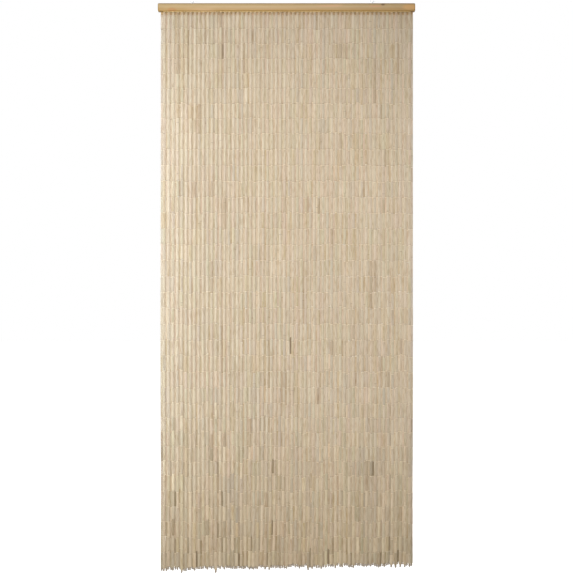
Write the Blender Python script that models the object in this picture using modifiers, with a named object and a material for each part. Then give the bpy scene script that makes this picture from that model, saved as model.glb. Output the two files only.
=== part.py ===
"""Bamboo door curtain: two staggered rows of bamboo strands hanging from a pine bar, with two screw eyes on top.

Metres, +Z up. The origin is the middle of the bar's flat top, and the curtain's front faces -Y.
Each row is one solid: a narrow strip under the bar, and the strands that are fixed to it.
"""

import math
import random
from collections import namedtuple

import bmesh
import bpy
from mathutils import Matrix, Vector

BAR_LENGTH = 0.900
BAR_DEPTH = 0.024
BAR_HEIGHT = 0.030
BAR_EDGE_ROUND = 0.007
BAR_EDGE_STEPS = 5
BAR_END_ROUND = 0.0035
BAR_END_STEPS = 3

CLEARANCE = 0.0003

STRAND_PITCH = 0.01501
STRIP_WIDTH = STRAND_PITCH / 2
STRAND_WIDTH = 0.0084
STRAND_WIDTH_SPREAD = 0.05
ROW_OFFSET = 0.0056

FOOT_LEFT = -1.9870
FOOT_RIGHT = -1.9705
FOOT_SPREAD = 0.0045
LEAN_SPREAD = 0.0003
SWAY_SPREAD = 0.0009

# One row of strands: its name, how many hang in it, where it hangs from front to back,
# and how high the strip is that holds it under the bar.
Row = namedtuple("Row", "name count y strip_height")
ROWS = (
    Row("front", 58, -ROW_OFFSET, 0.0020),
    Row("back", 59, ROW_OFFSET, 0.0085),
)

# How far the strands are from even spacing, along the curtain: under the bar, at their middle, low down
# and at the foot.
Lean = namedtuple("Lean", "x top middle low foot")
LEANS = (
    Lean(-0.440, -0.0012, -0.0030, -0.0012, -0.0025),
    Lean(-0.434, -0.0012, -0.0030, -0.0012, -0.0025),
    Lean(-0.428, 0.0005, -0.0012, 0.0005, -0.0008),
    Lean(-0.380, 0.0028, 0.0010, 0.0021, 0.0010),
    Lean(-0.300, 0.0028, 0.0003, 0.0013, 0.0012),
    Lean(-0.220, 0.0028, 0.0006, 0.0004, 0.0004),
    Lean(-0.135, 0.0024, 0.0004, -0.0007, -0.0018),
    Lean(-0.060, 0.0018, 0.0002, -0.0018, -0.0082),
    Lean(0.030, 0.0014, -0.0008, -0.0034, -0.0066),
    Lean(0.110, 0.0012, -0.0008, -0.0038, -0.0078),
    Lean(0.205, 0.0010, 0.0012, 0.0004, 0.0012),
    Lean(0.285, 0.0000, 0.0030, 0.0032, 0.0012),
    Lean(0.370, 0.0006, 0.0030, 0.0030, -0.0020),
    Lean(0.428, 0.0028, 0.0028, 0.0023, 0.0018),
    Lean(0.434, 0.0038, 0.0038, 0.0033, 0.0030),
    Lean(0.440, 0.0038, 0.0038, 0.0033, 0.0030),
)

# Strands that hang lower than their neighbours or lean away from them: row, place from the left,
# how much lower, and how much further to the right at the foot.
OddStrand = namedtuple("OddStrand", "row place lower right")
ODD_STRANDS = (
    OddStrand("front", 4, 0.006, 0.0),
    OddStrand("front", 7, 0.0, -0.0004),
    OddStrand("front", 8, 0.0, 0.0004),
    OddStrand("front", 12, 0.008, -0.0008),
    OddStrand("front", 17, 0.0, -0.0003),
    OddStrand("front", 18, 0.0, 0.0003),
    OddStrand("front", 25, 0.007, 0.0),
    OddStrand("front", 34, 0.006, 0.0),
    OddStrand("front", 39, 0.0, 0.0003),
    OddStrand("front", 50, 0.0, -0.0004),
    OddStrand("front", 51, 0.0, 0.0003),
    OddStrand("front", 54, 0.0, -0.0005),
    OddStrand("front", 55, 0.0, 0.0003),
    OddStrand("back", 5, 0.006, 0.0),
    OddStrand("back", 39, 0.0, 0.0010),
)

# A strand from its top to the end of its last tube: the part of its length above each section,
# and how much of the row's four shifts and of the strand's own it has there.
Section = namedtuple("Section", "down top middle low foot own")
SECTIONS = (
    Section(0.30, 0.70, 0.30, 0.00, 0.00, 0.00),
    Section(0.60, 0.00, 1.00, 0.00, 0.00, 0.10),
    Section(0.80, 0.00, 0.00, 1.00, 0.00, 0.22),
    Section(0.90, 0.00, 0.00, 0.70, 0.30, 0.45),
    Section(0.95, 0.00, 0.00, 0.40, 0.60, 0.68),
    Section(1.00, 0.00, 0.00, 0.00, 1.00, 1.00),
)

# The end knot under the last tube: distance below the tube, and width as a part of the strand's.
KnotRing = namedtuple("KnotRing", "below wide")
KNOT = (
    KnotRing(0.0022, 0.36),
    KnotRing(0.0075, 0.84),
    KnotRing(0.0115, 0.32),
)
KNOT_LENGTH = KNOT[-1].below

EYE_LEFT_X = -0.330
EYE_RIGHT_X = 0.300
EYE_WIRE = 0.0024
EYE_RADIUS = 0.0053
EYE_CENTRE_Z = 0.0080
EYE_NECK_DROP = 0.0069
EYE_SHANK_END = -0.0120
EYE_JOIN_ANGLE = math.radians(-60)
EYE_END_ANGLE = math.radians(250)
EYE_BEND_POINTS = 5
EYE_RING_POINTS = 22
SOCKET_RADIUS = EYE_WIRE / 2 + CLEARANCE
SOCKET_DEPTH = 0.0125


def clear_scene():
    for obj in list(bpy.data.objects):
        bpy.data.objects.remove(obj, do_unlink=True)


def make_collection(name):
    collection = bpy.data.collections.new(name)
    bpy.context.scene.collection.children.link(collection)
    return collection


def make_material(name, colour, roughness, metallic=0.0):
    material = bpy.data.materials.new(name)
    material.use_nodes = True
    shader = material.node_tree.nodes["Principled BSDF"]
    shader.inputs["Base Color"].default_value = (*colour, 1.0)
    shader.inputs["Roughness"].default_value = roughness
    shader.inputs["Metallic"].default_value = metallic
    return material


def object_from(bm, name, collection, material=None):
    """Turns a bmesh into an object of this name."""
    mesh = bpy.data.meshes.new(name)
    bmesh.ops.recalc_face_normals(bm, faces=bm.faces)
    bm.to_mesh(mesh)
    bm.free()
    obj = bpy.data.objects.new(name, mesh)
    if material is not None:
        mesh.materials.append(material)
    collection.objects.link(obj)
    return obj


def box(size):
    """A bmesh box with its middle at the origin."""
    bm = bmesh.new()
    bmesh.ops.create_cube(bm, size=1.0)
    bmesh.ops.scale(bm, vec=size, verts=bm.verts)
    return bm


def runs_along_x(edge):
    return abs((edge.verts[0].co - edge.verts[1].co).normalized().x) > 0.99


def make_bar(parts, cutters, material):
    """The pine bar: rounded long edges, softened ends, and a blind socket for each screw eye."""
    bm = box((BAR_LENGTH, BAR_DEPTH, BAR_HEIGHT))
    bmesh.ops.translate(bm, vec=(0, 0, -BAR_HEIGHT / 2), verts=bm.verts)
    bmesh.ops.bevel(
        bm,
        geom=[edge for edge in bm.edges if runs_along_x(edge)],
        offset=BAR_EDGE_ROUND,
        segments=BAR_EDGE_STEPS,
        profile=0.5,
        affect="EDGES",
    )
    bar = object_from(bm, "bar", parts, material)
    bar.data.shade_smooth()
    bar.data.set_sharp_from_angle(angle=math.radians(30))
    ends = bar.modifiers.new("rounded ends", "BEVEL")
    ends.limit_method = "ANGLE"
    ends.angle_limit = math.radians(60)
    ends.width = BAR_END_ROUND
    ends.segments = BAR_END_STEPS
    for side, x in (("left", EYE_LEFT_X), ("right", EYE_RIGHT_X)):
        socket = bar.modifiers.new("socket " + side, "BOOLEAN")
        socket.operation = "DIFFERENCE"
        socket.solver = "EXACT"
        socket.object = socket_cutter(side, x, cutters)


def socket_cutter(side, x, cutters):
    bm = bmesh.new()
    bmesh.ops.create_cone(
        bm,
        cap_ends=True,
        segments=12,
        radius1=SOCKET_RADIUS,
        radius2=SOCKET_RADIUS,
        depth=2 * SOCKET_DEPTH,
    )
    cutter = object_from(bm, "socket_cutter_" + side, cutters)
    cutter.location.x = x
    cutter.hide_render = True
    cutter.display_type = "WIRE"
    return cutter


def strand_top(row):
    return -BAR_HEIGHT - CLEARANCE - row.strip_height


def strand_x(row, place):
    return (place - (row.count - 1) / 2) * STRAND_PITCH


def common_lean(x):
    """The row's shifts at this place along the curtain, between two of LEANS: top, middle, low and foot."""
    for left, right in zip(LEANS, LEANS[1:]):
        if x <= right.x:
            share = (x - left.x) / (right.x - left.x)
            return [a + (b - a) * share for a, b in zip(left[1:], right[1:])]
    return LEANS[-1][1:]


def strand_hang(row, place):
    """How one strand hangs: the height of its foot, its foot's own shift, and its width."""
    draw = random.Random(f"{row.name} {place}")
    x = strand_x(row, place)
    across = x / BAR_LENGTH + 0.5
    foot = FOOT_LEFT + across * (FOOT_RIGHT - FOOT_LEFT)
    foot += draw.uniform(-FOOT_SPREAD, FOOT_SPREAD)
    lean = draw.uniform(-LEAN_SPREAD, LEAN_SPREAD)
    for odd in ODD_STRANDS:
        if (odd.row, odd.place) == (row.name, place):
            foot -= odd.lower
            lean += odd.right
    sway = draw.uniform(-SWAY_SPREAD, SWAY_SPREAD)
    width = STRAND_WIDTH * (1 + draw.uniform(-STRAND_WIDTH_SPREAD, STRAND_WIDTH_SPREAD))
    return foot, Vector((lean, sway, 0)), width


def strand_rings(row, place):
    """The (middle, width) of each ring of a strand below its root, from the top down."""
    foot, own, width = strand_hang(row, place)
    root = Vector((strand_x(row, place), row.y, strand_top(row)))
    at_top, middle, low, at_foot = common_lean(root.x)
    length = root.z - foot - KNOT_LENGTH
    rings = []
    for section in SECTIONS:
        lean = section.top * at_top + section.middle * middle + section.low * low + section.foot * at_foot
        rings.append((root + own * section.own + Vector((lean, 0, -length * section.down)), width))
    last = rings[-1][0]
    for ring in KNOT:
        rings.append((last - Vector((0, 0, ring.below)), width * ring.wide))
    return rings


def extrude_to(bm, face, middle, width):
    """Extrudes a square face to a new middle and width, and returns the new face."""
    face = bmesh.ops.extrude_discrete_faces(bm, faces=[face])["faces"][0]
    old = face.calc_center_median()
    old_width = max(vert.co.x for vert in face.verts) - min(vert.co.x for vert in face.verts)
    resize = Matrix.Scale(width / old_width, 4)
    move = Matrix.Translation(middle) @ resize @ Matrix.Translation(-old)
    bmesh.ops.transform(bm, matrix=move, verts=face.verts)
    return face


def make_row(row, parts, material):
    """One row: a strip of square cells, with a strand under every other cell."""
    cells = 2 * row.count - 1
    bm = box((cells * STRIP_WIDTH, STRIP_WIDTH, row.strip_height))
    middle = (0, row.y, strand_top(row) + row.strip_height / 2)
    bmesh.ops.translate(bm, vec=middle, verts=bm.verts)
    bmesh.ops.subdivide_edges(
        bm,
        edges=[edge for edge in bm.edges if runs_along_x(edge)],
        cuts=cells - 1,
        use_grid_fill=True,
    )
    for vert in bm.verts:
        vert.co.x += common_lean(vert.co.x)[0]
    bm.normal_update()
    under = sorted(
        (face for face in bm.faces if face.normal.z < -0.9),
        key=lambda face: face.calc_center_median().x,
    )
    for place, face in enumerate(under[::2]):
        for ring_middle, width in strand_rings(row, place):
            face = extrude_to(bm, face, ring_middle, width)
    object_from(bm, row.name + "_strands", parts, material)


def eye_point(angle):
    return Vector((EYE_RADIUS * math.cos(angle), 0, EYE_CENTRE_Z + EYE_RADIUS * math.sin(angle)))


def eye_path():
    """The middle of a screw eye's wire: up the shank, round a short bend, and round the ring."""
    neck = Vector((0, 0, EYE_CENTRE_Z - EYE_NECK_DROP))
    join = eye_point(EYE_JOIN_ANGLE)
    # The bend's control point is where the ring's tangent at the join meets the shank.
    control = Vector((0, 0, join.z - join.x / math.tan(-EYE_JOIN_ANGLE)))
    path = [Vector((0, 0, EYE_SHANK_END))]
    for i in range(EYE_BEND_POINTS):
        t = i / EYE_BEND_POINTS
        path.append((1 - t) ** 2 * neck + 2 * t * (1 - t) * control + t * t * join)
    for i in range(EYE_RING_POINTS):
        t = i / (EYE_RING_POINTS - 1)
        path.append(eye_point(EYE_JOIN_ANGLE + t * (EYE_END_ANGLE - EYE_JOIN_ANGLE)))
    return path


def make_eye(name, x, parts, material):
    path = eye_path()
    curve = bpy.data.curves.new(name, "CURVE")
    curve.dimensions = "3D"
    curve.bevel_depth = EYE_WIRE / 2
    curve.bevel_resolution = 2
    curve.use_fill_caps = True
    spline = curve.splines.new("POLY")
    spline.points.add(len(path) - 1)
    for point, place in zip(spline.points, path):
        point.co = (*place, 1)
    spline.use_smooth = True
    eye = bpy.data.objects.new(name, curve)
    eye.location.x = x
    curve.materials.append(material)
    parts.objects.link(eye)


def main():
    clear_scene()
    parts = make_collection("bamboo_door_curtain")
    cutters = make_collection("cutters")
    pine = make_material("pine", (0.62, 0.42, 0.20), 0.45)
    bamboo = make_material("bamboo", (0.66, 0.53, 0.34), 0.5)
    shaded_bamboo = make_material("bamboo of the back row", (0.55, 0.43, 0.26), 0.5)
    steel = make_material("zinc-plated steel", (0.75, 0.76, 0.78), 0.35, metallic=1.0)
    make_bar(parts, cutters, pine)
    for row, material in zip(ROWS, (bamboo, shaded_bamboo)):
        make_row(row, parts, material)
    make_eye("eye_left", EYE_LEFT_X, parts, steel)
    make_eye("eye_right", EYE_RIGHT_X, parts, steel)


main()
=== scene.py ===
"""Looks of the bamboo door curtain: hollow tubes on their strings, the knots, the pine bar and its eyes."""

import math
import random
from collections import namedtuple

import bpy
import numpy as np
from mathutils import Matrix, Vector


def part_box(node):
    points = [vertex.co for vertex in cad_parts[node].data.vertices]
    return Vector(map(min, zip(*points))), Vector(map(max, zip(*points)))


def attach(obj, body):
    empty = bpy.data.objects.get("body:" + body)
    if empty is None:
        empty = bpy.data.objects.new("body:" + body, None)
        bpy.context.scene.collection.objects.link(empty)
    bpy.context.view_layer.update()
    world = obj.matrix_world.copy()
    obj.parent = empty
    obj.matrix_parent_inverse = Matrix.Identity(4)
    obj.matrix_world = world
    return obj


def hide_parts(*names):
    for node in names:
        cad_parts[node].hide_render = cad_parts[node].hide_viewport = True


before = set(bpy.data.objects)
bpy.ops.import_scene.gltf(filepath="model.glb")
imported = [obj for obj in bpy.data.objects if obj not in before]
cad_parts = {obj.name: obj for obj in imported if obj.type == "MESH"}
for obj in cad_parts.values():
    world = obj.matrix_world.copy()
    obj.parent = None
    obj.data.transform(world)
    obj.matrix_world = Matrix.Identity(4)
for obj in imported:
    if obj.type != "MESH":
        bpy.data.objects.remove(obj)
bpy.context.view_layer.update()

BAR_LOW, BAR_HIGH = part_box("bar")
BAR_LENGTH = BAR_HIGH.x - BAR_LOW.x
BAR_END_ROUND = 0.0035
BAR_WAVINESS = 0.0001

# Where the strands hang and end, in metres, as the solids have it. The spreads are by chance.
CLEARANCE = 0.0003
STRAND_PITCH = 0.01501
ROW_OFFSET = 0.0056
FOOT_LEFT = -1.9870
FOOT_RIGHT = -1.9705
FOOT_SPREAD = 0.0045
LEAN_SPREAD = 0.0003
SWAY_SPREAD = 0.0009
KNOT_LENGTH = 0.0115

# One row of strands: its name, how many hang in it, where it hangs from front to back, how high the lath is
# that holds it under the bar, its finish's slot and the seed of its chances.
Row = namedtuple("Row", "name count y lath_height slot seed")
ROWS = (
    Row("front", 58, -ROW_OFFSET, 0.0020, "bamboo", 59),
    Row("back", 59, ROW_OFFSET, 0.0085, "bamboo_back", 60),
)
PARTS_OF_A_ROW = 4
LATH_DEPTH = STRAND_PITCH / 2
LATH_END_ROUND = 0.0006

# How far the strands are from even spacing, along the curtain: under the bar, at their middle, low down
# and at the foot.
Lean = namedtuple("Lean", "x top middle low foot")
LEANS = (
    Lean(-0.440, -0.0012, -0.0030, -0.0012, -0.0025),
    Lean(-0.434, -0.0012, -0.0030, -0.0012, -0.0025),
    Lean(-0.428, 0.0005, -0.0012, 0.0005, -0.0008),
    Lean(-0.380, 0.0028, 0.0010, 0.0021, 0.0010),
    Lean(-0.300, 0.0028, 0.0003, 0.0013, 0.0012),
    Lean(-0.220, 0.0028, 0.0006, 0.0004, 0.0004),
    Lean(-0.135, 0.0024, 0.0004, -0.0007, -0.0018),
    Lean(-0.060, 0.0018, 0.0002, -0.0018, -0.0082),
    Lean(0.030, 0.0014, -0.0008, -0.0034, -0.0066),
    Lean(0.110, 0.0012, -0.0008, -0.0038, -0.0078),
    Lean(0.205, 0.0010, 0.0012, 0.0004, 0.0012),
    Lean(0.285, 0.0000, 0.0030, 0.0032, 0.0012),
    Lean(0.370, 0.0006, 0.0030, 0.0030, -0.0020),
    Lean(0.428, 0.0028, 0.0028, 0.0023, 0.0018),
    Lean(0.434, 0.0038, 0.0038, 0.0033, 0.0030),
    Lean(0.440, 0.0038, 0.0038, 0.0033, 0.0030),
)

# Strands that hang lower than their neighbours or lean away from them: row, place from the left,
# how much lower, and how much further to the right at the foot.
OddStrand = namedtuple("OddStrand", "row place lower right")
ODD_STRANDS = (
    OddStrand("front", 4, 0.006, 0.0),
    OddStrand("front", 7, 0.0, -0.0004),
    OddStrand("front", 8, 0.0, 0.0004),
    OddStrand("front", 12, 0.008, -0.0008),
    OddStrand("front", 17, 0.0, -0.0003),
    OddStrand("front", 18, 0.0, 0.0003),
    OddStrand("front", 25, 0.007, 0.0),
    OddStrand("front", 34, 0.006, 0.0),
    OddStrand("front", 39, 0.0, 0.0003),
    OddStrand("front", 50, 0.0, -0.0004),
    OddStrand("front", 51, 0.0, 0.0003),
    OddStrand("front", 54, 0.0, -0.0005),
    OddStrand("front", 55, 0.0, 0.0003),
    OddStrand("back", 5, 0.006, 0.0),
    OddStrand("back", 39, 0.0, 0.0010),
)

# How much a strand has of the four shifts above and of its own, at each share of the way down.
Section = namedtuple("Section", "down top middle low foot own")
SECTIONS = (
    Section(0.00, 1.00, 0.00, 0.00, 0.00, 0.00),
    Section(0.30, 0.70, 0.30, 0.00, 0.00, 0.00),
    Section(0.60, 0.00, 1.00, 0.00, 0.00, 0.10),
    Section(0.80, 0.00, 0.00, 1.00, 0.00, 0.22),
    Section(0.90, 0.00, 0.00, 0.70, 0.30, 0.45),
    Section(0.95, 0.00, 0.00, 0.40, 0.60, 0.68),
    Section(1.00, 0.00, 0.00, 0.00, 1.00, 1.00),
)

# The joints between tubes lie in nearly level rows: how far below the bar's top some of them are.
# Between these the tubes are about equally long, and the last tube ends at the strand's own foot.
JointRow = namedtuple("JointRow", "number height")
JOINT_ROWS = (
    JointRow(1, -0.0887),
    JointRow(8, -0.4560),
    JointRow(25, -1.4000),
    JointRow(30, -1.6530),
    JointRow(35, -1.9215),
)
JOINT_SPREAD = 0.0019
JOINT_DRIFT = 0.0010
JOINTS_TO_DRIFT = 8
SHORTEST_LAST_TUBE = 0.030

# The tubes: their sizes in metres, and as shares of their radius the bore, taper, roundness and bulge.
TUBES_PER_STRAND = 36
TUBE_SIDES = 12
TUBE_RADIUS = 0.0045
TUBE_RADIUS_SPREAD = 0.00010
TUBE_RADIUS_LIMITS = (0.0041, 0.0050)
TUBE_BORE = 0.55
TUBE_TAPER = 0.02
TUBE_BOW = 0.00005
TUBE_OUT_OF_ROUND = 0.025
TUBE_END_SHIFT = 0.00004
TUBE_END_SHIFT_AT_FOOT = 0.0002
TUBES_WIDER_AT_FOOT = 0.07
# The two changes at the foot grow with this power of the way down.
FOOT_POWER = 4
TOP_GAP = 0.0003
JOINT_GAP = 0.0003
OPEN_JOINT_SHARE = 0.08
OPEN_JOINT_GAP = (0.0007, 0.0014)
CUT_EDGE = 0.0003
NODE_SHARE = 0.06
NODE_NEAR_TOP_SHARE = 0.6
NODE_NEAR_TOP = (0.045, 0.07)
NODE_ELSEWHERE = (0.25, 0.80)
NODE_BULGE = 0.06
NODE_HALF_HEIGHT = 0.0014

# A tube's wall as a closed loop, from the bore's top edge over the outside and back up the bore.
# from_top is in tube lengths, step in metres, and radius as a share of the outer radius, less cut.
Ring = namedtuple("Ring", "from_top step radius cut bulge v")
PLAIN_TUBE = (
    Ring(0.0, 0.0, TUBE_BORE, 0.0, 0.0, 0.02),
    Ring(0.0, 0.0, 1.0, CUT_EDGE, 0.0, 0.08),
    Ring(0.0, CUT_EDGE, 1.0, 0.0, 0.0, 0.10),
    Ring(0.5, 0.0, 1.0, 0.0, 0.0, 0.45),
    Ring(1.0, -CUT_EDGE, 1.0, 0.0, 0.0, 0.80),
    Ring(1.0, 0.0, 1.0, CUT_EDGE, 0.0, 0.82),
    Ring(1.0, 0.0, TUBE_BORE, 0.0, 0.0, 0.88),
)
NODE_RINGS = (
    Ring(None, -NODE_HALF_HEIGHT, 1.0, 0.0, 0.0, None),
    Ring(None, 0.0, 1.0, 0.0, NODE_BULGE, None),
    Ring(None, NODE_HALF_HEIGHT, 1.0, 0.0, 0.0, None),
)
NODED_TUBE = PLAIN_TUBE[:3] + NODE_RINGS + PLAIN_TUBE[4:]
# In a tube's cell of the baking map: how high its wall closes, and how wide the margin is.
V_CLOSED = 0.98
MAP_MARGIN = 0.04
# Each tube's grain is laid out in millimetres, from a place of its own within this many.
GRAIN_PER_METRE = 1000
GRAIN_SPAN = 400

# The bamboo's colours as a maker would sort the tubes, with how many of a hundred have each. Some tubes
# repeat the colour above them, and all vary a little in brightness and tint.
Shade = namedtuple("Shade", "name colour share")
BAMBOO_SHADES = (
    Shade("straw", (0.650, 0.550, 0.412), 36),
    Shade("cream", (0.685, 0.588, 0.450), 20),
    Shade("pinkish", (0.650, 0.538, 0.408), 14),
    Shade("greenish", (0.636, 0.552, 0.402), 13),
    Shade("grey", (0.622, 0.535, 0.415), 9),
    Shade("ochre", (0.620, 0.510, 0.350), 6),
    Shade("tan", (0.545, 0.435, 0.305), 2),
)
SHADE_REPEATS = 0.35
SHADE_BRIGHTNESS_SPREAD = 0.022
WEATHERED_BRIGHTNESS_SPREAD = 0.065
SHADE_TINT_SPREAD = 0.007
SHADE_LIMITS = (0.02, 0.85)

# Tubes that are darker than the rest: a few dark canes, and, low down, painted shade, chiefly on back-row
# tubes that show between front strands that lean apart. Row, place from the left, number from the top, and
# how dark.
DarkTube = namedtuple("DarkTube", "row place number darkness")
DARK_AND_SHADED_TUBES = (
    DarkTube("back", 14, 2, 0.8),
    DarkTube("back", 30, 21, 1.0),
    DarkTube("back", 26, 29, 0.9),
    DarkTube("front", 26, 29, 0.3),
    DarkTube("back", 49, 29, 0.9),
    DarkTube("front", 48, 29, 0.3),
    DarkTube("back", 3, 31, 0.77),
    DarkTube("back", 14, 31, 0.68),
    DarkTube("front", 2, 33, 0.68),
    DarkTube("back", 26, 33, 0.85),
    DarkTube("back", 13, 33, 0.59),
    DarkTube("front", 14, 33, 0.42),
    DarkTube("back", 14, 34, 0.51),
    DarkTube("back", 9, 34, 0.59),
    DarkTube("back", 21, 34, 0.59),
    DarkTube("back", 53, 34, 0.68),
    DarkTube("back", 40, 34, 0.42),
    DarkTube("back", 8, 35, 0.85),
    DarkTube("back", 18, 35, 0.85),
    DarkTube("back", 25, 35, 0.77),
    DarkTube("front", 34, 35, 0.38),
    DarkTube("back", 35, 35, 0.51),
    DarkTube("back", 39, 35, 0.77),
    DarkTube("back", 44, 35, 0.59),
    DarkTube("back", 51, 35, 0.85),
    DarkTube("back", 55, 35, 0.80),
    DarkTube("front", 50, 35, 0.35),
    DarkTube("front", 54, 35, 0.30),
    DarkTube("front", 16, 35, 0.30),
    DarkTube("back", 17, 34, 0.50),
    DarkTube("front", 27, 34, 0.35),
    DarkTube("front", 27, 35, 0.40),
)
DARK_BAMBOO_AND_SHADE = np.array((0.340, 0.255, 0.155))


def strand_top(row):
    """How high a row's strings leave their lath."""
    return BAR_LOW.z - CLEARANCE - row.lath_height


def strand_x(row, place):
    """Where a strand would hang if all were evenly spaced."""
    return (place - (row.count - 1) / 2) * STRAND_PITCH


def strand_foot(row, place):
    """Where a strand's knot ends and how far its foot has swung by itself, as the solids have them."""
    draw = random.Random(f"{row.name} {place}")
    x = strand_x(row, place)
    across = x / BAR_LENGTH + 0.5
    foot = FOOT_LEFT + across * (FOOT_RIGHT - FOOT_LEFT)
    foot += draw.uniform(-FOOT_SPREAD, FOOT_SPREAD)
    lean = draw.uniform(-LEAN_SPREAD, LEAN_SPREAD)
    sway = draw.uniform(-SWAY_SPREAD, SWAY_SPREAD)
    for odd in ODD_STRANDS:
        if (odd.row, odd.place) == (row.name, place):
            foot -= odd.lower
            lean += odd.right
    return foot, lean, sway


class Strand:
    """One strand's line, from the lath down to the end of its last tube."""

    def __init__(self, row, place):
        self.row = row
        self.place = place
        self.x = strand_x(row, place)
        self.top = strand_top(row)
        self.foot, own_lean, own_sway = strand_foot(row, place)
        self.end = self.foot + KNOT_LENGTH
        places = [lean.x for lean in LEANS]
        common = [np.interp(self.x, places, [lean[part] for lean in LEANS]) for part in (1, 2, 3, 4)]
        self.leans = [np.dot(section[1:5], common) + section.own * own_lean for section in SECTIONS]
        self.sways = [section.own * own_sway for section in SECTIONS]

    def at(self, z):
        """Points of the line at these heights."""
        z = np.asarray(z, float)
        down = (self.top - z) / (self.top - self.end)
        levels = [section.down for section in SECTIONS]
        x = self.x + np.interp(down, levels, self.leans)
        y = self.row.y + np.interp(down, levels, self.sways)
        return np.stack([x, y, z], -1)


Tubes = namedtuple("Tubes", "top bottom radius taper bow squash turn colour seed node")


def string_of_tubes(strand, rng):
    """The tubes on one strand, from the top down."""
    count = TUBES_PER_STRAND
    numbers = np.arange(1, count)
    joints = np.interp(numbers, [row.number for row in JOINT_ROWS], [row.height for row in JOINT_ROWS])
    joints += rng.normal(0, JOINT_SPREAD, count - 1) + rng.normal(0, JOINT_DRIFT) * numbers / JOINTS_TO_DRIFT
    joints[-1] = max(joints[-1], strand.end + SHORTEST_LAST_TUBE)
    opened = rng.random(count - 1) < OPEN_JOINT_SHARE
    gaps = np.where(opened, rng.uniform(*OPEN_JOINT_GAP, count - 1), JOINT_GAP)
    tops = np.concatenate([[strand.top - TOP_GAP], joints - gaps / 2])
    bottoms = np.concatenate([joints + gaps / 2, [strand.end]])
    near_foot = (np.arange(count) / count)[:, None] ** FOOT_POWER
    shift = TUBE_END_SHIFT + TUBE_END_SHIFT_AT_FOOT * near_foot
    ends = []
    for z in (tops, bottoms):
        points = strand.at(z)
        points[:, :2] += rng.normal(0, 1, (count, 2)) * shift
        ends.append(points)
    radius = rng.normal(TUBE_RADIUS, TUBE_RADIUS_SPREAD, count).clip(*TUBE_RADIUS_LIMITS)
    radius *= 1 + TUBES_WIDER_AT_FOOT * near_foot[:, 0]
    noded = rng.random(count) < NODE_SHARE
    near_top = rng.random(count) < NODE_NEAR_TOP_SHARE
    node = np.where(near_top, rng.uniform(*NODE_NEAR_TOP, count), rng.uniform(*NODE_ELSEWHERE, count))
    return Tubes(
        top=ends[0],
        bottom=ends[1],
        radius=radius,
        taper=rng.uniform(-TUBE_TAPER, TUBE_TAPER, count),
        bow=rng.normal(0, TUBE_BOW, (count, 2)),
        squash=rng.uniform(0, TUBE_OUT_OF_ROUND, count),
        turn=rng.uniform(0, math.tau, count),
        colour=tube_colours(strand.row, strand.place, rng),
        seed=rng.uniform(0, GRAIN_SPAN, (count, 3)),
        node=np.where(noded, node, -1.0),
    )


# The back row's tubes are painted brighter, painted light that makes up for the front row's shade on them,
# but its first and last strands are duller and bluer.
BACK_ROW_PAINTED_LIGHT = 1.03
OUTERMOST = np.array((0.96, 0.98, 1.02))
# How each row's lowest tubes change towards the foot: the front row's turn yellower, and the back row's
# yellower and darker, which is painted shade of the back row where it shows between the front strands; and
# between which tubes, counted from the top, this sets in.
FOOT_TINT_AND_SHADE = {"front": np.array((1.000, 0.972, 0.895)), "back": np.array((0.875, 0.852, 0.785))}
FOOT_TINT_AND_SHADE_STARTS = 25
FOOT_TINT_AND_SHADE_FULL = 35
# Between which tubes the weather comes to make them more uneven in brightness.
WEATHERING_STARTS = 20
WEATHERING_FULL = 32


def tube_colours(row, place, rng):
    """A colour for each tube of a strand. Some repeat the one above, as tubes cut from one cane do."""
    count = TUBES_PER_STRAND
    shares = np.array([shade.share for shade in BAMBOO_SHADES], float)
    kinds = rng.choice(len(BAMBOO_SHADES), count, p=shares / shares.sum())
    for i in range(1, count):
        if rng.random() < SHADE_REPEATS:
            kinds[i] = kinds[i - 1]
    colours = np.array([shade.colour for shade in BAMBOO_SHADES])[kinds]
    # dark canes, and painted shade on tubes low down between leaning strands
    for dark in DARK_AND_SHADED_TUBES:
        if (dark.row, dark.place) == (row.name, place):
            colours[dark.number] += dark.darkness * (DARK_BAMBOO_AND_SHADE - colours[dark.number])
    numbers = np.arange(count)
    spreads = (SHADE_BRIGHTNESS_SPREAD, WEATHERED_BRIGHTNESS_SPREAD)
    spread = np.interp(numbers, [WEATHERING_STARTS, WEATHERING_FULL], spreads)[:, None]
    bright = 1 + rng.normal(0, 1, (count, 1)) * spread
    tint = rng.normal(1, SHADE_TINT_SPREAD, (count, 3))
    if row.name == "back":
        colours = colours * BACK_ROW_PAINTED_LIGHT
        if place in (0, row.count - 1):
            colours = colours * OUTERMOST
    # towards the foot: a yellower tint on both rows, and painted shade on the back row
    toward_foot = np.interp(numbers, [FOOT_TINT_AND_SHADE_STARTS, FOOT_TINT_AND_SHADE_FULL], [0, 1])[:, None]
    return (colours * bright * tint * (1 + toward_foot * (FOOT_TINT_AND_SHADE[row.name] - 1))).clip(*SHADE_LIMITS)


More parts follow.
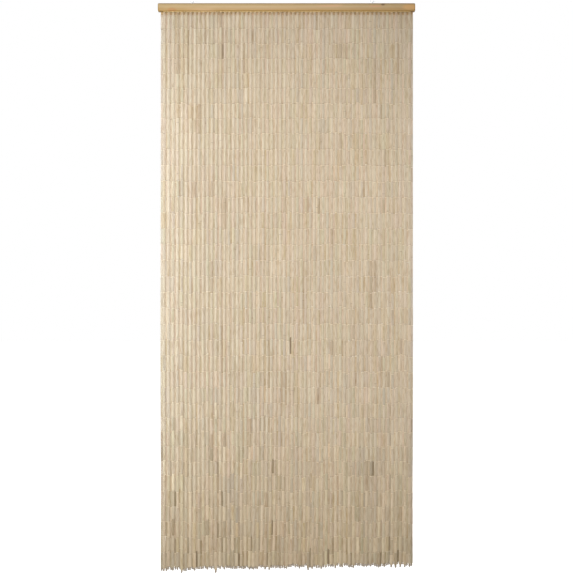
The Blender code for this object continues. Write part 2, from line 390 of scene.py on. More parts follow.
def tube_rings(tubes, rings):
    """Points (tube, ring, side, xyz) of these tubes' walls, and how far along its tube each point lies."""
    length = np.linalg.norm(tubes.top - tubes.bottom, axis=1)
    sides = np.arange(TUBE_SIDES) * math.tau / TUBE_SIDES
    angle = tubes.turn[:, None] + sides
    across = np.stack([np.cos(angle), np.sin(angle)], -1)
    across *= (1 + tubes.squash[:, None] * np.cos(2 * sides))[..., None]
    points, alongs = [], []
    for ring in rings:
        along = tubes.node if ring.from_top is None else np.full(len(length), ring.from_top)
        along = along + ring.step / length
        middle = tubes.top + (tubes.bottom - tubes.top) * along[:, None]
        middle[:, :2] += tubes.bow * np.sin(math.pi * along)[:, None]
        radius = tubes.radius * (1 + tubes.taper * (along - 0.5) + ring.bulge)
        radius = radius * ring.radius - ring.cut
        ring_points = np.repeat(middle[:, None], TUBE_SIDES, 1)
        ring_points[..., :2] += across * radius[:, None, None]
        points.append(ring_points)
        alongs.append(np.repeat(along[:, None], TUBE_SIDES, 1))
    return np.stack(points, 1), np.stack(alongs, 1)


def loop_quads(count, rings, sides, closed):
    """Faces round and along count walls whose points are stored wall by wall, ring by ring."""
    steps = rings if closed else rings - 1
    ring, side = np.meshgrid(np.arange(steps), np.arange(sides), indexing="ij")
    after_ring, after_side = (ring + 1) % rings, (side + 1) % sides
    corners = np.stack(
        [
            ring * sides + side,
            after_ring * sides + side,
            after_ring * sides + after_side,
            ring * sides + after_side,
        ],
        -1,
    ).reshape(-1, 4)
    return (np.arange(count)[:, None, None] * rings * sides + corners).reshape(-1, 4)


def mesh_object(name, points, quads, material, smooth_angle=35):
    """An object from arrays of points and four-cornered faces, sharp at edges above smooth_angle degrees."""
    mesh = bpy.data.meshes.new(name)
    mesh.vertices.add(len(points))
    mesh.vertices.foreach_set("co", np.asarray(points, np.float32).ravel())
    mesh.loops.add(quads.size)
    mesh.loops.foreach_set("vertex_index", quads.astype(np.int32).ravel())
    mesh.polygons.add(len(quads))
    mesh.polygons.foreach_set("loop_start", np.arange(0, quads.size, 4, dtype=np.int32))
    mesh.update(calc_edges=True)
    mesh.validate()
    mesh.shade_smooth()
    mesh.set_sharp_from_angle(angle=math.radians(smooth_angle))
    mesh.materials.append(material)
    obj = bpy.data.objects.new(name, mesh)
    bpy.context.scene.collection.objects.link(obj)
    return obj


def give_attribute(obj, name, kind, values):
    """Give each point a number, direction or colour for the material to read."""
    attribute = obj.data.attributes.new(name, kind, "POINT")
    field = {"FLOAT": "value", "FLOAT_VECTOR": "vector", "FLOAT_COLOR": "color"}[kind]
    attribute.data.foreach_set(field, np.asarray(values, np.float32).ravel())


def tube_map(count, rings, first, across, down):
    """Map places (face corner, uv) that give each tube its own cell in a grid of across by down."""
    ring, side = np.meshgrid(np.arange(len(rings)), np.arange(TUBE_SIDES), indexing="ij")
    heights = tube_map_heights(rings)
    u = np.stack([side, side, side + 1, side + 1], -1) / TUBE_SIDES
    v = np.stack([heights[ring], heights[ring + 1], heights[ring + 1], heights[ring]], -1)
    cell = np.stack([u, v], -1).reshape(1, -1, 2) * (1 - 2 * MAP_MARGIN) + MAP_MARGIN
    number = first + np.arange(count)
    corner = np.stack([number % across, number // across], -1)[:, None]
    return ((cell + corner) / (across, down)).reshape(-1, 2)


def tube_map_heights(rings):
    """How high in its map cell each ring lies, and at the end where the loop closes."""
    heights = [ring.v for ring in rings]
    outside = [i for i, height in enumerate(heights) if height is None]
    for i in outside:
        share = (i - outside[0] + 1) / (len(outside) + 1)
        heights[i] = heights[outside[0] - 1] * (1 - share) + heights[outside[-1] + 1] * share
    return np.array(heights + [V_CLOSED])


def some_tubes(tubes, chosen):
    """Only the tubes for which chosen is true."""
    return Tubes(*(field[chosen] for field in tubes))


def make_tubes(name, tubes, material):
    """One object that holds all these tubes."""
    noded = tubes.node >= 0
    count = len(tubes.radius)
    down = math.ceil(math.sqrt(count))
    across = math.ceil(count / down)
    points, quads, maps, facts = [], [], [], []
    first_point = first_tube = 0
    for chosen, rings in ((~noded, PLAIN_TUBE), (noded, NODED_TUBE)):
        some = some_tubes(tubes, chosen)
        number = len(some.radius)
        if not number:
            continue
        shape, along = tube_rings(some, rings)
        per_tube = len(rings) * TUBE_SIDES
        points.append(shape.reshape(-1, 3))
        quads.append(loop_quads(number, len(rings), TUBE_SIDES, True) + first_point)
        maps.append(tube_map(number, rings, first_tube, across, down))
        grain = (shape - some.top[:, None, None]) * GRAIN_PER_METRE + some.seed[:, None, None]
        inside = np.array([ring.radius == TUBE_BORE for ring in rings], float)
        facts.append(
            {
                "colour": np.repeat(np.c_[some.colour, np.ones(number)], per_tube, 0),
                "grain": grain.reshape(-1, 3),
                "along": along.ravel(),
                "node": np.repeat(some.node, per_tube),
                "inside": np.tile(np.repeat(inside, TUBE_SIDES), number),
            }
        )
        first_point += number * per_tube
        first_tube += number
    obj = mesh_object(name, np.concatenate(points), np.concatenate(quads), material)
    for fact, kind in (
        ("colour", "FLOAT_COLOR"),
        ("grain", "FLOAT_VECTOR"),
        ("along", "FLOAT"),
        ("node", "FLOAT"),
        ("inside", "FLOAT"),
    ):
        give_attribute(obj, "tube_" + fact, kind, np.concatenate([part[fact] for part in facts]))
    cells = obj.data.uv_layers.new(name="OFBake")
    cells.uv.foreach_set("vector", np.concatenate(maps).astype(np.float32).ravel())
    return obj


STRING_SIDES = 5
STRING_THIN = 0.0006
STRING_KNOT = 0.0010
STRING_ABOVE_TOP = 0.001
# A slanting direction that the walls of strings, knots and tails are laid out from.
ODD_DIRECTION = (0.31, 0.95, 0.05)


def swept(path, radii, sides):
    """Points (point, side, xyz) of a round wall that follows a path downwards or round a loop."""
    ahead = np.gradient(path, axis=0)
    ahead /= np.linalg.norm(ahead, axis=1, keepdims=True)
    aside = np.cross(ahead, ODD_DIRECTION)
    aside /= np.linalg.norm(aside, axis=1, keepdims=True)
    third = np.cross(ahead, aside)
    angle = np.arange(sides) * math.tau / sides
    ring = np.cos(angle)[None, :, None] * aside[:, None] + np.sin(angle)[None, :, None] * third[:, None]
    return path[:, None] + ring * np.asarray(radii).reshape(-1, 1, 1)


def make_strings(row, strands, strung, material):
    """The strings of a row: thin inside each tube, and knotted in the gaps between tubes."""
    points = []
    for strand, tubes in zip(strands, strung):
        gap_middles = (tubes.bottom[:-1] + tubes.top[1:]) / 2
        tube_middles = (tubes.bottom + tubes.top) / 2
        path = [strand.at(strand.top + STRING_ABOVE_TOP)[None]]
        radii = [STRING_THIN]
        for i in range(TUBES_PER_STRAND):
            path.append(tube_middles[i : i + 1])
            radii.append(STRING_THIN)
            if i + 1 < TUBES_PER_STRAND:
                path.append(gap_middles[i : i + 1])
                radii.append(STRING_KNOT)
        path.append(strand.at(strand.end - KNOT_DROP)[None])
        radii.append(STRING_THIN)
        points.append(swept(np.concatenate(path), radii, STRING_SIDES))
    points = np.stack(points)
    return capped_object(row.name + "_strings", points, material)


def capped_object(name, points, material, smooth_angle=80):
    """An object of many like walls (wall, ring, side, xyz), each drawn to a point in both end rings."""
    walls, rings, sides = points.shape[:3]
    first = np.repeat(points[:, :1].mean(2, keepdims=True), sides, 2)
    last = np.repeat(points[:, -1:].mean(2, keepdims=True), sides, 2)
    points = np.concatenate([first, points, last], 1)
    quads = loop_quads(walls, rings + 2, sides, False)
    return mesh_object(name, points.reshape(-1, 3), quads, material, smooth_angle)


# The knots: their size and how it varies, how tall they are for it, and how far below the last tube.
KNOT_POINTS = 22
KNOT_SIDES = 6
KNOT_SIZE = 0.00080
KNOT_SIZE_RANGE = (0.85, 1.15)
KNOT_TALLNESS = 4.2
KNOT_STRING = 0.0019
KNOT_DROP = 0.0047
# Their tails: where each starts below the knot's middle, how far it bends aside, its length and its radii.
TAIL_POINTS = 5
TAIL_START = 0.0026
TAIL_ASIDE = 0.0012
TAIL_LENGTH = 0.0064
TAIL_LENGTH_RANGE = (0.6, 1.0)
TAIL_RADII = (0.0014, 0.0009)


def knot_path(middle, size, turn):
    """A tied loop: the closed line of an overhand knot, about its middle."""
    t = np.linspace(0, math.tau, KNOT_POINTS)
    x = np.sin(t) + 2 * np.sin(2 * t)
    y = np.cos(t) - 2 * np.cos(2 * t)
    z = -np.sin(3 * t) * KNOT_TALLNESS
    cos, sin = math.cos(turn), math.sin(turn)
    return middle + np.stack([x * cos - y * sin, x * sin + y * cos, z], -1) * size


def make_knots(row, strands, rng, material):
    """The knot under each strand's last tube, with its short tail."""
    knots, tails = [], []
    for strand in strands:
        size = KNOT_SIZE * rng.uniform(*KNOT_SIZE_RANGE)
        middle = strand.at(strand.end - KNOT_DROP)
        path = knot_path(middle, size, rng.uniform(0, math.tau))
        knots.append(swept(path, [KNOT_STRING] * KNOT_POINTS, KNOT_SIDES))
        t = np.linspace(0, 1, TAIL_POINTS)[:, None]
        aside = np.array([rng.uniform(-1, 1), rng.uniform(-1, 1), 0]) * TAIL_ASIDE
        hang = np.array([0, 0, -TAIL_LENGTH]) * rng.uniform(*TAIL_LENGTH_RANGE)
        tail = middle + (0, 0, -TAIL_START) + aside * t**2 + hang * t
        tails.append(swept(tail, np.linspace(*TAIL_RADII, TAIL_POINTS), KNOT_SIDES))
    tied = capped_object(row.name + "_knots", np.stack(knots), material)
    loose = capped_object(row.name + "_string_ends", np.stack(tails), material)
    return tied, loose


# How square the sections are above and below: 2 is an oval, and high numbers are a rectangle.
BAR_SQUARENESS = (3.1, 5.0)
LATH_SQUARENESS = (9.0, 9.0)
SECTION_POINTS = 44
BAR_SECTIONS = 60
END_STEPS = 6
PLANING_SEED = 7


def plump_section(depth, height, squareness):
    """Points (yz) round a section as square as squareness says, above and below."""
    angle = np.arange(SECTION_POINTS) * math.tau / SECTION_POINTS
    across, up = np.cos(angle), np.sin(angle)
    power = 2 / np.where(up > 0, *squareness)
    return np.stack(
        [
            depth / 2 * np.sign(across) * np.abs(across) ** power,
            height / 2 * np.sign(up) * np.abs(up) ** power,
        ],
        -1,
    )


def make_bar(name, low, high, squareness, end_round, material, waviness=0.0):
    """A wooden bar or lath along X, rounded at edges and ends. Its surface dips in by up to waviness."""
    rng = np.random.default_rng(PLANING_SEED)
    low, high = np.array(low), np.array(high)
    size, middle = high - low, (high + low) / 2
    turn = np.linspace(math.pi / 2, 0, END_STEPS, endpoint=False)
    from_end = end_round * (1 - np.sin(turn))
    drawn_in = end_round * (1 - np.cos(turn))
    inner = np.linspace(low[0] + end_round, high[0] - end_round, BAR_SECTIONS)
    places = np.concatenate([low[0] + from_end, inner, high[0] - from_end[::-1]])
    drawn_in = np.concatenate([drawn_in, rng.uniform(0, waviness, BAR_SECTIONS), drawn_in[::-1]])
    share = 1 - drawn_in[:, None] * 2 / size[1:]
    section = plump_section(size[1], size[2], squareness)
    points = np.empty((1, len(places), SECTION_POINTS, 3))
    points[0, ..., 0] = places[:, None]
    points[0, ..., 1:] = section * share[:, None] + middle[1:]
    return capped_object(name, points, material, smooth_angle=40)


# The eyes, bent from wire. Their heights are from the bar's top, as in the solids.
EYE_WIRE = 0.0024
EYE_RADIUS = 0.0053
EYE_CENTRE_Z = 0.0080
EYE_NECK_DROP = 0.0069
EYE_SHANK_END = -0.0120
EYE_JOIN_ANGLE = math.radians(-60)
EYE_END_ANGLE = math.radians(250)
EYE_BEND_POINTS = 10
EYE_RING_POINTS = 48
EYE_ROUNDNESS = 6


def eye_point(angle):
    """A point of the ring, from its right side at 0 over its top."""
    return Vector((EYE_RADIUS * math.cos(angle), 0, EYE_CENTRE_Z + EYE_RADIUS * math.sin(angle)))


def make_eye(name, material):
    """A screw eye bent from wire: up the shank, round a short bend, and round the ring."""
    low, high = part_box(name)
    neck = Vector((0, 0, EYE_CENTRE_Z - EYE_NECK_DROP))
    join = eye_point(EYE_JOIN_ANGLE)
    control = Vector((0, 0, join.z - join.x / math.tan(-EYE_JOIN_ANGLE)))
    path = [Vector((0, 0, EYE_SHANK_END))]
    for i in range(EYE_BEND_POINTS):
        t = i / EYE_BEND_POINTS
        path.append((1 - t) ** 2 * neck + 2 * t * (1 - t) * control + t * t * join)
    for i in range(EYE_RING_POINTS):
        t = i / (EYE_RING_POINTS - 1)
        path.append(eye_point(EYE_JOIN_ANGLE + t * (EYE_END_ANGLE - EYE_JOIN_ANGLE)))
    curve = bpy.data.curves.new(name + "_wire", "CURVE")
    curve.dimensions = "3D"
    curve.bevel_depth = EYE_WIRE / 2
    curve.bevel_resolution = EYE_ROUNDNESS
    curve.use_fill_caps = True
    spline = curve.splines.new("POLY")
    spline.points.add(len(path) - 1)
    for point, place in zip(spline.points, path):
        point.co = (*place, 1)
    spline.use_smooth = True
    curve.materials.append(material)
    eye = bpy.data.objects.new(name + "_wire", curve)
    eye.location.x = (low.x + high.x) / 2
    bpy.context.scene.collection.objects.link(eye)
    return eye


class Value:
    """A number or colour that nodes work out. Its maths adds Math nodes to the tree that it belongs to."""

    def __init__(self, nodes, socket):
        self.nodes = nodes
        self.socket = socket

    def maths(self, operation, *values):
        numbered = dict(enumerate(values))
        return self.nodes.node("ShaderNodeMath", {"operation": operation}, numbered)

    def __add__(self, other):
        return self.maths("ADD", self, other)

    __radd__ = __add__

    def __mul__(self, other):
        return self.maths("MULTIPLY", self, other)

    __rmul__ = __mul__

    def __sub__(self, other):
        return self.maths("SUBTRACT", self, other)

    def __rsub__(self, other):
        return self.maths("SUBTRACT", other, self)

    def __truediv__(self, other):
        return self.maths("DIVIDE", self, other)

    def __pow__(self, other):
        return self.maths("POWER", self, other)

    def __abs__(self):
        return self.maths("ABSOLUTE", self)

    def sine(self):
        return self.maths("SINE", self)

    def above(self, low, high):
        """0 below low, 1 above high, and a smooth step between."""
        settings = {"interpolation_type": "SMOOTHSTEP"}
        sockets = {"Value": self, "From Min": low, "From Max": high}
        return self.nodes.node("ShaderNodeMapRange", settings, sockets)


class Nodes:
    """Adds nodes to a node tree."""

    def __init__(self, tree):
        self.tree = tree

    def join(self, value, socket):
        if isinstance(value, Value):
            self.tree.links.new(value.socket, socket)
        else:
            socket.default_value = value

    def node(self, kind, settings=None, sockets=None, output=0):
        """Adds a node: its settings first, then its sockets' values or links. Returns one output."""
        node = self.tree.nodes.new(kind)
        for name, value in (settings or {}).items():
            setattr(node, name, value)
        for name, value in (sockets or {}).items():
            self.join(value, node.inputs[name])
        return Value(self, node.outputs[output])


class Finish(Nodes):
    """A Principled material. Keywords are the shader's own sockets, with _ for a space."""

    def __init__(self, name, **fixed):
        self.material = bpy.data.materials.new(name)
        self.material.use_nodes = True
        super().__init__(self.material.node_tree)
        self.shader = self.tree.nodes["Principled BSDF"]
        self.drive(**fixed)

    def drive(self, **sockets):
        for name, value in sockets.items():
            self.join(value, self.shader.inputs[name.replace("_", " ")])

    def attribute(self, name, output="Fac"):
        return self.node("ShaderNodeAttribute", {"attribute_name": name}, output=output)

    def place(self):
        """Where each point is, in metres from the middle of the bar's top."""
        return self.node("ShaderNodeTexCoord", output="Object")

    def along(self, axis, vector):
        """How far along an axis a place is."""
        return self.node("ShaderNodeSeparateXYZ", None, {0: vector}, axis)

    def stretched(self, vector, scale):
        """A place for a pattern that is to be closer along an axis the higher its scale is."""
        return self.node("ShaderNodeVectorMath", {"operation": "MULTIPLY"}, {0: vector, 1: scale})

    def noise(self, vector, scale=1.0, detail=3.0, roughness=0.5):
        sockets = {"Vector": vector, "Scale": scale, "Detail": detail, "Roughness": roughness}
        return self.node("ShaderNodeTexNoise", None, sockets)

    def mixed(self, share, a, b, blend="MIX"):
        """Colour a turning into colour b as share goes from 0 to 1."""
        settings = {"data_type": "RGBA", "blend_type": blend}
        return self.node("ShaderNodeMix", settings, {0: share, 6: a, 7: b}, output=2)

    def layered(self, under, layers, covers):
        """A colour under a table's layers, each as strong as the table says where its cover lets it show."""
        for layer in layers:
            share = covers[layer.name] * layer.strength
            under = self.mixed(share, under, colour(*layer.colour), layer.blend)
        return under

    def bump(self, height, distance, strength):
        sockets = {"Height": height, "Distance": distance, "Strength": strength}
        return self.node("ShaderNodeBump", None, sockets)


def colour(red, green, blue):
    """A colour given as it looks on a screen, 0 to 255, as Blender's linear one."""
    parts = [part / 255 for part in (red, green, blue)]
    linear = [part / 12.92 if part <= 0.04045 else ((part + 0.055) / 1.055) ** 2.4 for part in parts]
    return (*linear, 1.0)


# How close the cane's patterns are, in waves a millimetre across a tube and along it, and between which
# of their values, 0 to 1, each comes to show.
FIBRES = (2.6, 2.6, 0.05)
FIBRES_SHOW = (0.45, 0.72)
PATCHES = (0.16, 0.16, 0.035)
PATCHES_SHOW = (0.45, 0.70)
PATCHES_SHOW_ON_ENDS = (0.45, 0.56)
SPECKS = (1.1, 1.1, 0.45)
SPECKS_SHOW = (0.66, 0.74)
# Where on a tube, as shares of its length, a node's line fades and its two cut ends begin and end. The upper
# cut end carries a painted highlight.
NODE_LINE = (0.006, 0.028)
LOWER_END = (0.950, 0.985)
UPPER_END = (0.030, 0.060)
# How far down the tubes the painted shade under the bar reaches, and how steeply it fades.
BAR_SHADE_REACH = 0.018
BAR_SHADE_FADE = 0.6

# What lies over a tube's own colour, from the lowest layer up: its colour as on a screen, how strong it is
# and how it's laid on.
Layer = namedtuple("Layer", "name colour strength blend")
CANE_LAYERS = (
    Layer("dark fibres", (172, 140, 92), 0.30, "MULTIPLY"),
    Layer("weathered patches", (205, 180, 130), 0.35, "MULTIPLY"),
    Layer("specks", (110, 78, 48), 0.35, "MIX"),
    Layer("node line", (118, 88, 58), 0.40, "MIX"),
    Layer("lower cut end", (150, 118, 80), 0.28, "MIX"),
    # a painted highlight: the upper cut end paler, as if its edge caught the light
    Layer("upper cut end", (250, 236, 212), 0.48, "MIX"),
    Layer("bore", (196, 168, 120), 0.8, "MIX"),
    # painted shade under the bar: the tubes just below it darkened as if the bar shaded them
    Layer("varnish", (206, 172, 118), 0.55, "MULTIPLY"),
)


def bamboo_finish():
    """Cane skin: each tube's own colour under its fibres, patches, specks, node line and cut ends, a painted
    highlight on its upper cut end, and painted shade under the bar.
    """
    finish = Finish("bamboo cane", Specular_IOR_Level=0.4, Diffuse_Roughness=1.0)
    grain = finish.attribute("tube_grain", "Vector")
    along = finish.attribute("tube_along")
    inside = finish.attribute("tube_inside")
    fibres = finish.noise(finish.stretched(grain, FIBRES), detail=4, roughness=0.6)
    patches = finish.noise(finish.stretched(grain, PATCHES), detail=2)
    specks = finish.noise(finish.stretched(grain, SPECKS), detail=3)
    node_line = 1 - abs(along - finish.attribute("tube_node")).above(*NODE_LINE)
    height = finish.along("Z", finish.place())
    covers = {
        "dark fibres": fibres.above(*FIBRES_SHOW),
        "weathered patches": patches.above(*PATCHES_SHOW),
        "specks": specks.above(*SPECKS_SHOW),
        "node line": node_line,
        "lower cut end": along.above(*LOWER_END),
        "upper cut end": (1 - along.above(*UPPER_END)) * patches.above(*PATCHES_SHOW_ON_ENDS),
        "bore": inside,
        "varnish": height.above(BAR_LOW.z - BAR_SHADE_REACH, BAR_LOW.z) ** BAR_SHADE_FADE,
    }
    finish.drive(
        Base_Color=finish.layered(finish.attribute("tube_colour", "Color"), CANE_LAYERS, covers),
        Roughness=0.45 + fibres * 0.25 + inside * 0.2,
        Normal=finish.bump(fibres * 0.6 + node_line * 0.5, 0.0002, 0.5),
    )
    return finish.material


STRING_SHADOW = (122, 112, 98)
STRING_SHADOW_STRENGTH = 0.2
TWISTS_PER_METRE = 420.0


def string_finish(name, clean, dirty):
    """Twisted cotton string, darker between its twists."""
    finish = Finish(name, Roughness=0.85, Specular_IOR_Level=0.2, Diffuse_Roughness=1.0)
    place = finish.place()
    twist = finish.node(
        "ShaderNodeTexWave",
        {"wave_type": "BANDS", "bands_direction": "DIAGONAL"},
        {"Vector": place, "Scale": TWISTS_PER_METRE, "Distortion": 1.5},
    )
    dirt = finish.noise(place, scale=60.0)
    cotton = finish.mixed(dirt, colour(*clean), colour(*dirty))
    cotton = finish.mixed((1 - twist) * STRING_SHADOW_STRENGTH, cotton, colour(*STRING_SHADOW))
    finish.drive(Base_Color=cotton, Normal=finish.bump(twist, 0.0001, 0.6))
    return finish.material


# Marks in the bar's wood: where each lies along and down the bar's front, its size, colour and strength.
Mark = namedtuple("Mark", "x z length height colour strength")
BAR_MARKS = (
    Mark(-0.400, -0.0250, 0.020, 0.0085, (172, 116, 46), 0.9),
    Mark(0.337, -0.0065, 0.009, 0.0050, (110, 76, 40), 0.75),
    Mark(0.432, -0.0150, 0.034, 0.0120, (222, 164, 88), 0.6),
    Mark(-0.060, -0.0240, 0.030, 0.0040, (176, 128, 76), 0.35),
    Mark(0.150, -0.0110, 0.060, 0.0050, (214, 160, 118), 0.5),
    Mark(0.310, -0.0120, 0.030, 0.0040, (212, 146, 104), 0.5),
)
MARK_RAGGEDNESS = 0.8
MARK_EDGE = (0.15, 1.0)

# The wood's grain: the pith that its year rings lie about (from front to back, and up), their spacing and
# wander in metres, and how close its patterns are, in waves a metre along, through and up the wood.
PITH = (0.004, -0.075)
RING_SPACING = 0.0042
RING_WANDER = 0.011
WANDER = (2.2, 14.0, 14.0)
STREAKS = (9.0, 700.0, 700.0)
CLOUDS = (7.0, 45.0, 45.0)
LATE_WOOD_SHOWS = (0.1, 1.0)
LATE_WOOD_STRENGTH = 0.7
STREAKS_SHOW = (0.45, 0.75)
CLOUDS_SHOW = (0.5, 0.8)
# The bar's two bands fade between these heights, which wander by so much. The low band is the wood's own
# golden colour and painted shade, the bar's lower part darker as the light falls from above; the top band is
# painted shade on the up-facing top edge.
LOW_BAND = (-0.0195, -0.0100)
LOW_BAND_WANDER = 0.004
TOP_BAND = (-0.0075, -0.0025)
TOP_WANDER = 0.002
# The first two layers are painted shade: the low band in part, the top edge wholly.
PINE_LAYERS = (
    Layer("golden heartwood, low on the bar", (168, 126, 50), 1.0, "MIX"),
    Layer("greyer top edge", (170, 150, 118), 0.5, "MIX"),
    Layer("streaks", (176, 134, 84), 0.35, "MIX"),
    Layer("clouds", (222, 178, 138), 0.4, "MIX"),
)


def pine_finish(name, pale, late, marks=(), heart=0.0):
    """Varnished pine, as solid wood with year rings. The bar's two bands show as far as heart says, 0 to 1;
    both are painted shade, the low golden one only in part.
    """
    finish = Finish(name, Specular_IOR_Level=0.45)
    place = finish.place()
    x, y, z = (finish.along(axis, place) for axis in "XYZ")
    wander = finish.noise(finish.stretched(place, WANDER), detail=2)
    from_pith = (y - PITH[0]) ** 2.0 + (z - PITH[1]) ** 2.0
    rings = (from_pith**0.5 + wander * RING_WANDER) * (math.tau / RING_SPACING)
    late_wood = rings.sine().above(*LATE_WOOD_SHOWS)
    streaks = finish.noise(finish.stretched(place, STREAKS), detail=5, roughness=0.6)
    clouds = finish.noise(finish.stretched(place, CLOUDS), detail=2)
    covers = {
        "golden heartwood, low on the bar": heart * (1 - (z + wander * LOW_BAND_WANDER).above(*LOW_BAND)),
        "greyer top edge": heart * (z + wander * TOP_WANDER).above(*TOP_BAND),
        "streaks": streaks.above(*STREAKS_SHOW),
        "clouds": clouds.above(*CLOUDS_SHOW),
    }
    wood = finish.mixed(late_wood * LATE_WOOD_STRENGTH, colour(*pale), colour(*late))
    wood = finish.layered(wood, PINE_LAYERS, covers)
    for mark in marks:
        off = ((x - mark.x) / mark.length) ** 2.0 + ((z - mark.z) / mark.height) ** 2.0
        near = 1 - (off + (wander - 0.5) * MARK_RAGGEDNESS).above(*MARK_EDGE)
        wood = finish.mixed(near * mark.strength, wood, colour(*mark.colour))
    finish.drive(
        Base_Color=wood,
        Roughness=0.36 + streaks * 0.2,
        Normal=finish.bump(streaks * 0.5 + late_wood * 0.5, 0.0002, 0.6),
    )
    return finish.material


def steel_finish():
    """Zinc-plated wire, dulled unevenly."""
    finish = Finish("zinc plated steel", Metallic=1.0)
    cloudy = finish.noise(finish.place(), scale=260.0, detail=4)
    finish.drive(
        Base_Color=finish.mixed(cloudy, colour(226, 228, 232), colour(186, 188, 192)),
        Roughness=0.28 + cloudy * 0.25,
    )
    return finish.material


def floor_finish():
    """A pale floor that glows, so that it looks as white as the studio round it."""
    white = (1.0, 1.0, 1.0, 1.0)
    pale = Finish("pale floor", Base_Color=(0.9, 0.9, 0.9, 1.0), Roughness=0.9, Emission_Color=white)
    pale.drive(Emission_Strength=FLOOR_GLOW)
    return pale.material


# The photograph's width, and the bar's width and top edge in it, in pixels. Distances are in metres.
PHOTO_WIDTH = 573
BAR_WIDTH_IN_PHOTO = 257.7
BAR_TOP_IN_PHOTO = 2.6
CAMERA_DISTANCE = 4.0
FARTHEST_SEEN = 60.0


def make_camera():
    """Level, straight on, with the bar as wide and as high in the picture as in the photograph."""
    metres_per_pixel = BAR_LENGTH / BAR_WIDTH_IN_PHOTO
    seen = PHOTO_WIDTH * metres_per_pixel
    data = bpy.data.cameras.new("camera")
    data.lens = data.sensor_width * CAMERA_DISTANCE / seen
    data.clip_end = FARTHEST_SEEN
    camera = bpy.data.objects.new("camera", data)
    height = BAR_HIGH.z + (BAR_TOP_IN_PHOTO - PHOTO_WIDTH / 2) * metres_per_pixel
    camera.location = ((BAR_LOW.x + BAR_HIGH.x) / 2, BAR_LOW.y - CAMERA_DISTANCE, height)
    camera.rotation_euler = (math.pi / 2, 0, 0)
    bpy.context.scene.collection.objects.link(camera)
    bpy.context.scene.camera = camera


# Soft lights: where each stands, what it looks at, its size in metres, its power in watts and its colour.
Light = namedtuple("Light", "name place target size watts colour")
LIGHTS = (
    Light("side", (-0.62, -0.50, -0.84), (-0.47, 0, -0.84), (0.2, 1.7), 3.9, (0.74, 0.89, 1.0)),
    Light("top", (-0.1, -0.42, 0.40), (0, 0, -0.01), (1.2, 0.12), 0.9, (0.96, 0.98, 1.0)),
    Light("behind left", (-2.4, 2.2, -0.6), (0, 0, -0.95), (1.2, 2.0), 60, (1.0, 1.0, 1.0)),
    Light("behind right", (2.4, 2.2, -0.6), (0, 0, -0.95), (1.2, 2.0), 60, (1.0, 1.0, 1.0)),
)
# The key lamp, and how bright the studio's white is for the camera and as a light.
KEY_PLACE = (-0.1, -4.4, 0.2)
KEY_TARGET = (-0.16, 0, -1.06)
KEY_WATTS = 810
KEY_RADIUS = 0.3
KEY_ANGLE = math.radians(47)
KEY_COLOUR = (0.98, 0.985, 0.98)
SKY_FOR_THE_EYE = 1.0
SKY_AS_LIGHT = 0.04
FLOOR_HEIGHT = -2.15
FLOOR_SIZE = 40.0
FLOOR_GLOW = 1.0


def hang_light(data, place, target):
    """Put a lamp at its place, turned towards its target."""
    lamp = bpy.data.objects.new(data.name, data)
    lamp.location = place
    lamp.rotation_euler = (Vector(target) - Vector(place)).to_track_quat("-Z", "Y").to_euler()
    bpy.context.scene.collection.objects.link(lamp)
    return lamp


def make_panel_light(light):
    """A soft light that the camera doesn't see."""
    data = bpy.data.lights.new(light.name, "AREA")
    data.shape = "RECTANGLE"
    data.size, data.size_y = light.size
    data.energy = light.watts
    data.color = light.colour
    hang_light(data, light.place, light.target).visible_camera = False


def make_key_light():
    """A round soft lamp in front, strongest a little to the left of the curtain's middle."""
    data = bpy.data.lights.new("key", "SPOT")
    data.energy = KEY_WATTS
    data.color = KEY_COLOUR
    data.shadow_soft_size = KEY_RADIUS
    data.spot_size = KEY_ANGLE
    data.spot_blend = 1.0
    hang_light(data, KEY_PLACE, KEY_TARGET)


def make_studio():
    """A pale floor, and white all round that is dimmer as a light than it looks, so that the lamps tell."""
    world = bpy.data.worlds.new("white studio")
    world.use_nodes = True
    sky = Nodes(world.node_tree)
    seen = sky.node("ShaderNodeLightPath", output="Is Camera Ray")
    backdrop = world.node_tree.nodes["Background"]
    backdrop.inputs["Color"].default_value = (1.0, 1.0, 1.0, 1.0)
    sky.join(seen * (SKY_FOR_THE_EYE - SKY_AS_LIGHT) + SKY_AS_LIGHT, backdrop.inputs["Strength"])
    bpy.context.scene.world = world
    bpy.context.scene.view_settings.view_transform = "Standard"
    make_key_light()
    for light in LIGHTS:
        make_panel_light(light)
    half = FLOOR_SIZE / 2
    corners = [(x * half, y * half, FLOOR_HEIGHT) for x, y in ((-1, -1), (1, -1), (1, 1), (-1, 1))]
    floor = mesh_object("floor", np.array(corners), np.array([[0, 1, 2, 3]]), floor_finish())
    floor.visible_diffuse = False


def keep(piece, slot, *nodes):
    """The piece moves with the part and stands for these solids, which it hides. The slot is not used."""
    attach(piece, "root")
    if nodes:
        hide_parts(*nodes)


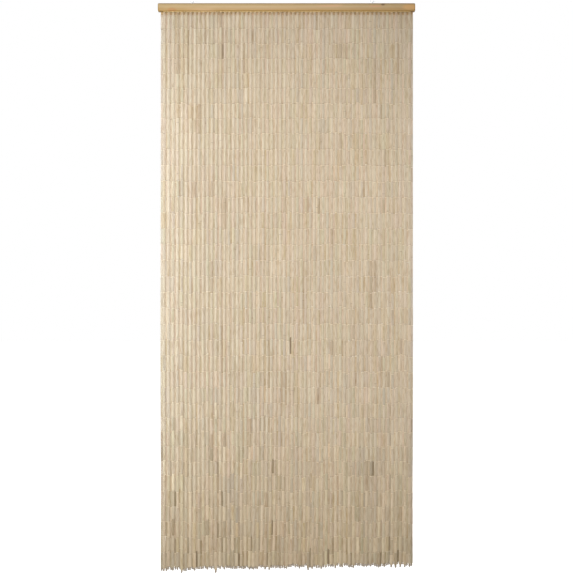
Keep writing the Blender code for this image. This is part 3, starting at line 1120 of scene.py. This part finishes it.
def make_row(row, bamboo, cotton, greyer_cotton, lath_wood):
    """A row's tubes in a few objects, the first of which stands for its solid, and what holds them."""
    node = row.name + "_strands"
    rng = np.random.default_rng(row.seed)
    strands = [Strand(row, place) for place in range(row.count)]
    strung = [string_of_tubes(strand, rng) for strand in strands]
    for part, chosen in enumerate(np.array_split(np.arange(row.count), PARTS_OF_A_ROW), 1):
        joined = Tubes(*(np.concatenate(field) for field in zip(*(strung[i] for i in chosen))))
        piece = make_tubes(f"{row.name}_tubes_{part}", joined, bamboo)
        keep(piece, row.slot, *([node] if part == 1 else []))
    keep(make_strings(row, strands, strung, cotton), row.slot)
    for piece in make_knots(row, strands, rng, greyer_cotton):
        keep(piece, row.slot)
    half = LATH_DEPTH / 2
    low = (strands[0].at(strands[0].top)[0] - half, row.y - half, strand_top(row))
    high = (strands[-1].at(strands[-1].top)[0] + half, row.y + half, BAR_LOW.z - CLEARANCE)
    lath = make_bar(row.name + "_lath", low, high, LATH_SQUARENESS, LATH_END_ROUND, lath_wood)
    keep(lath, row.slot)


# Colours as they look on a screen: clean and dirty string, and pale and late wood.
COTTON = ((222, 206, 178), (190, 172, 142))
# The knots' cotton is greyer and a little darker than the strings'.
GREYER_COTTON = ((214, 200, 182), (176, 162, 146))
BAR_PINE = ((192, 162, 112), (172, 136, 80))
# The front lath's pine is painted light, far paler than the bar's so that it doesn't look shaded under the
# bar; the back lath's is painted shade, darker as if in the bar's shadow.
FRONT_LATH_PINE_PAINTED_LIGHT = ((240, 208, 146), (226, 190, 124))
BACK_LATH_PINE_PAINTED_SHADE = ((178, 142, 88), (152, 116, 64))
# How far the bar's two bands show: the low golden band is partly painted shade, and the greyer top edge is
# painted shade.
BAR_BANDS = 0.85


def main():
    make_camera()
    make_studio()
    bamboo = bamboo_finish()
    cotton = string_finish("cotton string", *COTTON)
    greyer_cotton = string_finish("cotton knots, grey from handling", *GREYER_COTTON)
    pine = pine_finish("varnished pine", *BAR_PINE, BAR_MARKS, BAR_BANDS)
    lath_woods = (
        pine_finish("front lath pine", *FRONT_LATH_PINE_PAINTED_LIGHT),
        pine_finish("back lath pine", *BACK_LATH_PINE_PAINTED_SHADE),
    )
    for row, lath_wood in zip(ROWS, lath_woods):
        make_row(row, bamboo, cotton, greyer_cotton, lath_wood)
    bar = make_bar("pine_bar", BAR_LOW, BAR_HIGH, BAR_SQUARENESS, BAR_END_ROUND, pine, BAR_WAVINESS)
    keep(bar, "pine", "bar")
    steel = steel_finish()
    for name in ("eye_left", "eye_right"):
        keep(make_eye(name, steel), "steel", name)


main()
